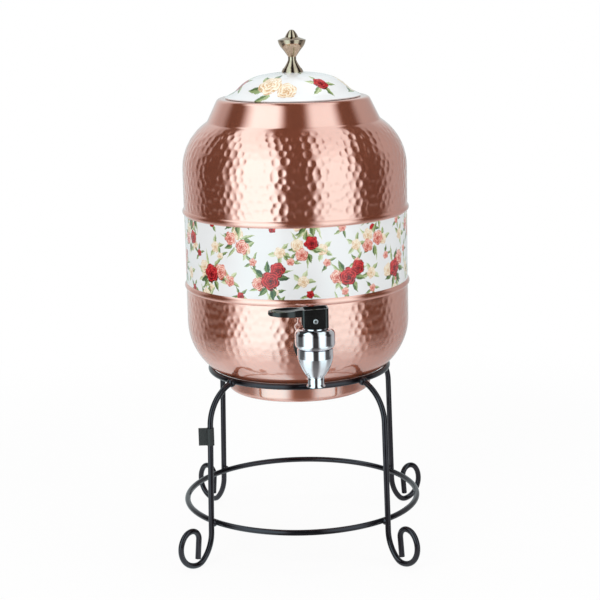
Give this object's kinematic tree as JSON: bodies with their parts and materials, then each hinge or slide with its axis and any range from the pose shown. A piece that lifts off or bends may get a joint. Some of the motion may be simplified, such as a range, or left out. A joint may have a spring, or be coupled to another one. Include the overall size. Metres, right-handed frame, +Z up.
{
  "type": "water dispenser",
  "caption": "Covered copper vessel with a hammered shoulder, a flower-printed band and lid, a small lever tap, and a stand of bent black rod with scrolled feet.",
  "frame": {"origin": "on the floor, under the vessel's vertical axis", "axes": "+Z up along the vessel's axis, -Y towards the tap, +X to the right as seen from the tap"},
  "size_m": [0.2516, 0.276, 0.4752],
  "materials": {
    "copper": "satin copper, hammered on the body",
    "printed_enamel": "glossy white enamel with a flower print",
    "knob_metal": "polished, warm nickel-brass",
    "black_rod": "glossy black coating",
    "black_strip": "bare satin black strip",
    "chrome": "bright chrome plating on brass",
    "black_lever": "glossy black moulding",
    "seal_rubber": "black rubber",
    "silicone": "milky silicone",
    "steel": "bright stainless steel",
    "nut_brass": "machined brass"
  },
  "bodies": {
    "stand": {"top_ring": "black_rod", "lower_ring": "black_rod", "leg_front_left": "black_rod", "leg_front_right": "black_rod", "leg_back_right": "black_rod", "leg_back_left": "black_rod", "top_welds": "black_rod", "lower_welds": "black_rod", "leg_tab": "black_strip"},
    "vessel": {"upper_shell": "copper", "band_shell": "printed_enamel", "lower_shell": "copper", "foot_ring": "copper", "tap_body": "chrome", "tap_bonnet": "chrome", "outer_gasket": "seal_rubber", "inner_washer": "silicone", "back_nut": "nut_brass", "seat_skirt": "silicone", "valve_spring": "steel"},
    "lid": {"lid_dome": "printed_enamel", "lid_skirt": "steel", "lid_knob": "knob_metal", "knob_washer": "steel", "knob_screw": "steel"},
    "seat": {"seat_cup": "silicone"},
    "stem": {"valve_stem": "chrome"},
    "lever": {"tap_lever": "black_lever", "lever_pin": "steel"}
  },
  "joints": [
    {"name": "vessel_lift", "type": "slide", "parent": "stand", "child": "vessel", "axis": [0, 0, 1], "range_m": [0, 0.05]},
    {"name": "lid_lift", "type": "slide", "parent": "vessel", "child": "lid", "axis": [0, 0, 1], "range_m": [0, 0.12]},
    {"name": "stem_lift", "type": "slide", "parent": "vessel", "child": "seat", "axis": [0, 0, 1], "range_m": [0, 0.00284], "stiffness_N_per_m": 800, "springref_m": -0.004, "deforming": ["valve_spring", "seat_skirt"]},
    {"name": "stem_swivel", "type": "hinge", "parent": "seat", "child": "stem", "pos_m": [0, -0.136, 0.2374], "axis": [0, 0, 1], "range_deg": [-40, 220]},
    {"name": "lever_tilt", "type": "hinge", "parent": "stem", "child": "lever", "pos_m": [0, -0.136, 0.2374], "axis": [0, -1, 0], "range_deg": [0, 25]}
  ],
  "couplings": [
    {"joint": "lever_tilt", "follows": "stem_lift", "rad_per_m": 153.85}
  ]
}
